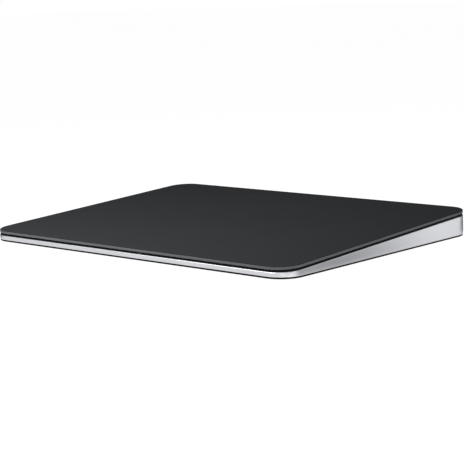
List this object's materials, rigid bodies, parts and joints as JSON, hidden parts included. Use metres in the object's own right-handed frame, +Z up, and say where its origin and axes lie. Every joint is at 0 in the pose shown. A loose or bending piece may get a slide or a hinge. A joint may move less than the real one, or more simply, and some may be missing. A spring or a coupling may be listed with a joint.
{
  "type": "trackpad",
  "caption": "Wedge-shaped desktop trackpad: flat dark glass plate over a satin metal housing, with pressing plate, sideways haptic shake and rear power switch.",
  "frame": {"origin": "on the desk, under the middle of the housing's outline", "axes": "+X right (long side), +Y to the back (thick edge, socket and switch), +Z up from the desk"},
  "size_m": [0.16, 0.115, 0.0109],
  "materials": {
    "satin_aluminium": "bead-blasted and clear anodised, satin",
    "dark_glass": "opaque dark glass, finely etched, satin",
    "black_seal": "matt black foam and film",
    "dark_cover": "dark grey moulded plastic, fine grain",
    "foot_rubber": "grey rubber, matt",
    "clear_film": "bonding film, milky",
    "circuit_board": "dark green solder mask over glass fibre",
    "plate_steel": "rolled stainless sheet",
    "screw_steel": "zinc-plated screws",
    "core_iron": "sintered iron, dull",
    "coil_copper": "enamelled copper wire",
    "gel": "soft translucent gel",
    "ribbon_film": "amber polyimide film",
    "cell_foil": "foil pouch, dull",
    "chip_plastic": "moulded chip package, matt",
    "capacitor_ceramic": "small ceramic parts with tinned ends",
    "connector_plastic": "pale moulded sockets",
    "shield_steel": "tinned sheet",
    "sleeve_steel": "drawn stainless tube, satin",
    "port_plastic": "black moulded tongue",
    "contact_gold": "gold-plated contacts",
    "switch_green": "green film",
    "switch_plastic": "black moulded switch parts"
  },
  "bodies": {
    "base": {"housing": "satin_aluminium", "rim_gasket": "black_seal", "bottom_cover": "dark_cover", "foot_front_left": "foot_rubber", "foot_front_right": "foot_rubber", "foot_rear_left": "foot_rubber", "foot_rear_right": "foot_rubber", "battery_strips": "clear_film", "main_board": "circuit_board", "port_board": "circuit_board", "switch_board": "circuit_board", "battery_guard_board": "circuit_board", "haptic_tray": "plate_steel", "port_bracket": "plate_steel", "force_beam_front_left": "plate_steel", "force_beam_front_right": "plate_steel", "force_beam_rear_left": "plate_steel", "force_beam_rear_right": "plate_steel", "beam_screws": "screw_steel", "haptic_screws": "screw_steel", "board_screws": "screw_steel", "port_screws": "screw_steel", "switch_screws": "screw_steel", "haptic_core_left": "core_iron", "haptic_core_right": "core_iron", "haptic_coils": "coil_copper", "strain_gauges": "ribbon_film", "haptic_ribbon": "ribbon_film", "battery_ribbon": "ribbon_film", "touch_ribbon": "ribbon_film", "gauge_harness": "ribbon_film", "port_ribbon": "ribbon_film", "switch_ribbon": "ribbon_film", "battery_tape": "ribbon_film", "battery_cell": "cell_foil", "processor": "chip_plastic", "board_chips": "chip_plastic", "antenna": "chip_plastic", "antenna_lead": "chip_plastic", "board_capacitors": "capacitor_ceramic", "board_connectors": "connector_plastic", "shield_can": "shield_steel", "port_sleeve": "sleeve_steel", "port_tongue": "port_plastic", "port_contacts": "contact_gold", "switch_block": "switch_plastic"},
    "beam_tips": {"tip_plates": "plate_steel", "gel_pads": "gel"},
    "touch_plate": {"touch_glass": "dark_glass", "glass_adhesive": "clear_film", "sensor_board": "circuit_board", "stiffener_plate": "plate_steel", "touch_controller": "chip_plastic", "sensor_passives": "capacitor_ceramic", "sensor_connector": "connector_plastic", "haptic_armature": "core_iron", "armature_screws": "screw_steel"},
    "power_switch": {"switch_knob": "satin_aluminium", "switch_carriage": "switch_plastic", "switch_indicator": "switch_green"}
  },
  "joints": [
    {"name": "touch_press", "type": "slide", "parent": "base", "child": "beam_tips", "axis": [0, -0.0521, 0.9986], "range_m": [-0.00025, 0], "stiffness_N_per_m": 6000, "springref_m": 0.0004, "deforming": ["force_beam_front_left", "force_beam_front_right", "force_beam_rear_left", "force_beam_rear_right", "strain_gauges", "touch_ribbon"]},
    {"name": "haptic_shake", "type": "slide", "parent": "beam_tips", "child": "touch_plate", "axis": [1, 0, 0], "range_m": [-0.00015, 0.00015], "stiffness_N_per_m": 8000},
    {"name": "power_switch_slide", "type": "slide", "parent": "base", "child": "power_switch", "axis": [1, 0, 0], "range_m": [0, 0.002]}
  ]
}
